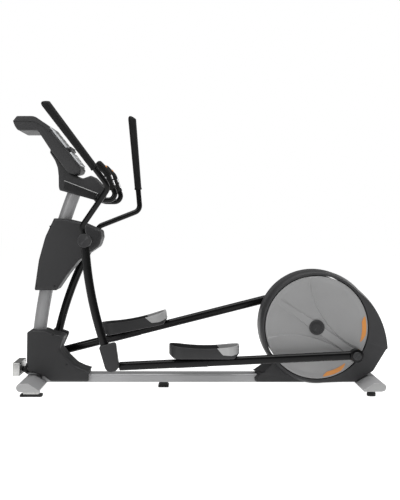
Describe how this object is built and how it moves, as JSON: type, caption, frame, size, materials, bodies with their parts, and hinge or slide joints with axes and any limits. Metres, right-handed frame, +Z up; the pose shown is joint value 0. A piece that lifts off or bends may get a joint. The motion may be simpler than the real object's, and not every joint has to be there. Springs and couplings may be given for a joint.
{
  "type": "elliptical trainer",
  "caption": "Rear-drive elliptical cross trainer with swing arms, tray pedals on rolling foot bars, a shrouded crank drum, a mast and a console on a rail base.",
  "frame": {"origin": "on the floor under the middle of the machine's box", "axes": "+X from the console towards the drive drum, +Y to the user's right, +Z up"},
  "size_m": [2.1397, 0.7392, 1.6156],
  "materials": {
    "silver_paint": "satin metallic powder coat",
    "black_steel": "gloss black powder coat",
    "bare_steel": "turned",
    "zinc_plate": "zinc plated",
    "aluminium": "cast and turned",
    "cast_flywheel": "machined",
    "charcoal_plastic": "fine moulded texture",
    "end_cap_plastic": "satin",
    "disc_grey": "satin metallic grey",
    "heel_grey": "satin",
    "orange_plastic": "satin orange",
    "rubber": "matt ribbed",
    "grip_rubber": "matt foam rubber",
    "belt_rubber": "ribbed belt",
    "screen_lens": "gloss lens"
  },
  "bodies": {
    "frame": {"base_rail": "silver_paint", "front_stabilizer": "silver_paint", "rear_stabilizer": "silver_paint", "stabilizer_end_caps": "end_cap_plastic", "front_feet": "rubber", "rear_feet": "rubber", "centre_foot": "rubber", "mast": "silver_paint", "pivot_frame": "black_steel", "arm_pivot_axle": "bare_steel", "front_shroud_left": "charcoal_plastic", "front_shroud_right": "charcoal_plastic", "mid_shroud_left": "charcoal_plastic", "mid_shroud_right": "charcoal_plastic", "connector_box": "zinc_plate", "drum_frame": "black_steel", "crank_bearings": "bare_steel", "drum_shroud_left": "charcoal_plastic", "drum_shroud_right": "charcoal_plastic", "drive_belt": "belt_rubber", "console_back": "charcoal_plastic", "console_bezel": "charcoal_plastic", "upper_display": "screen_lens", "lower_keypad": "screen_lens", "boom_left": "charcoal_plastic", "boom_right": "charcoal_plastic", "fixed_handlebars": "black_steel", "fixed_grips": "grip_rubber"},
    "left_thumb_button_body": {"left_thumb_button": "orange_plastic"},
    "right_thumb_button_body": {"right_thumb_button": "orange_plastic"},
    "left_arm": {"left_arm_tube": "black_steel", "left_pivot_cap": "charcoal_plastic", "left_handle_tube": "black_steel", "left_handle_grip": "grip_rubber", "left_joint_casing": "charcoal_plastic"},
    "left_bar": {"left_foot_bar": "black_steel", "left_joint_pin": "bare_steel", "left_pedal_shell": "charcoal_plastic", "left_heel_trim": "heel_grey", "left_pedal_mat": "rubber", "left_crank_cap": "charcoal_plastic"},
    "right_arm": {"right_arm_tube": "black_steel", "right_pivot_cap": "charcoal_plastic", "right_handle_tube": "black_steel", "right_handle_grip": "grip_rubber", "right_joint_casing": "charcoal_plastic"},
    "right_bar": {"right_foot_bar": "black_steel", "right_joint_pin": "bare_steel", "right_pedal_shell": "charcoal_plastic", "right_heel_trim": "heel_grey", "right_pedal_mat": "rubber", "right_crank_cap": "charcoal_plastic"},
    "crank": {"crank_axle": "bare_steel", "crank_arms": "black_steel", "crank_discs": "disc_grey", "hub_caps": "charcoal_plastic", "accent_arcs": "orange_plastic", "drive_pulley": "aluminium"},
    "rotor": {"flywheel": "cast_flywheel", "flywheel_pulley": "bare_steel"}
  },
  "joints": [
    {"name": "left_arm_swing", "type": "hinge", "parent": "frame", "child": "left_arm", "pos_m": [-0.634, 0, 0.848], "axis": [0, 1, 0], "range_deg": [-5, 38.8]},
    {"name": "right_arm_swing", "type": "hinge", "parent": "frame", "child": "right_arm", "pos_m": [-0.634, 0, 0.848], "axis": [0, 1, 0], "range_deg": [-37, 4.9]},
    {"name": "left_bar_pivot", "type": "hinge", "parent": "left_arm", "child": "left_bar", "pos_m": [-0.48478, 0, 0.16307], "axis": [0, 1, 0], "range_deg": [-41.9, 5.6]},
    {"name": "right_bar_pivot", "type": "hinge", "parent": "right_arm", "child": "right_bar", "pos_m": [-0.86986, 0, 0.18787], "axis": [0, 1, 0], "range_deg": [-5.6, 42.1]},
    {"name": "crank_spin", "type": "hinge", "parent": "frame", "child": "crank", "pos_m": [0.663, 0, 0.354], "axis": [0, 1, 0], "continuous": true},
    {"name": "rotor_spin", "type": "hinge", "parent": "frame", "child": "rotor", "pos_m": [0.93, 0, 0.2], "axis": [0, 1, 0], "continuous": true},
    {"name": "left_button_press", "type": "slide", "parent": "frame", "child": "left_thumb_button_body", "axis": [-0.8928, 0, -0.4505], "range_m": [0, 0.0015], "stiffness_N_per_m": 800, "springref_m": -0.0005},
    {"name": "right_button_press", "type": "slide", "parent": "frame", "child": "right_thumb_button_body", "axis": [-0.8928, 0, -0.4505], "range_m": [0, 0.0015], "stiffness_N_per_m": 800, "springref_m": -0.0005}
  ],
  "couplings": [
    {"joint": "right_arm_swing", "follows": "left_arm_swing", "ratio": -0.951},
    {"joint": "left_bar_pivot", "follows": "left_arm_swing", "ratio": -1.0753},
    {"joint": "right_bar_pivot", "follows": "left_arm_swing", "ratio": 1.0814},
    {"joint": "crank_spin", "follows": "left_arm_swing", "ratio": 3.616},
    {"joint": "rotor_spin", "follows": "left_arm_swing", "ratio": 23.837}
  ]
}
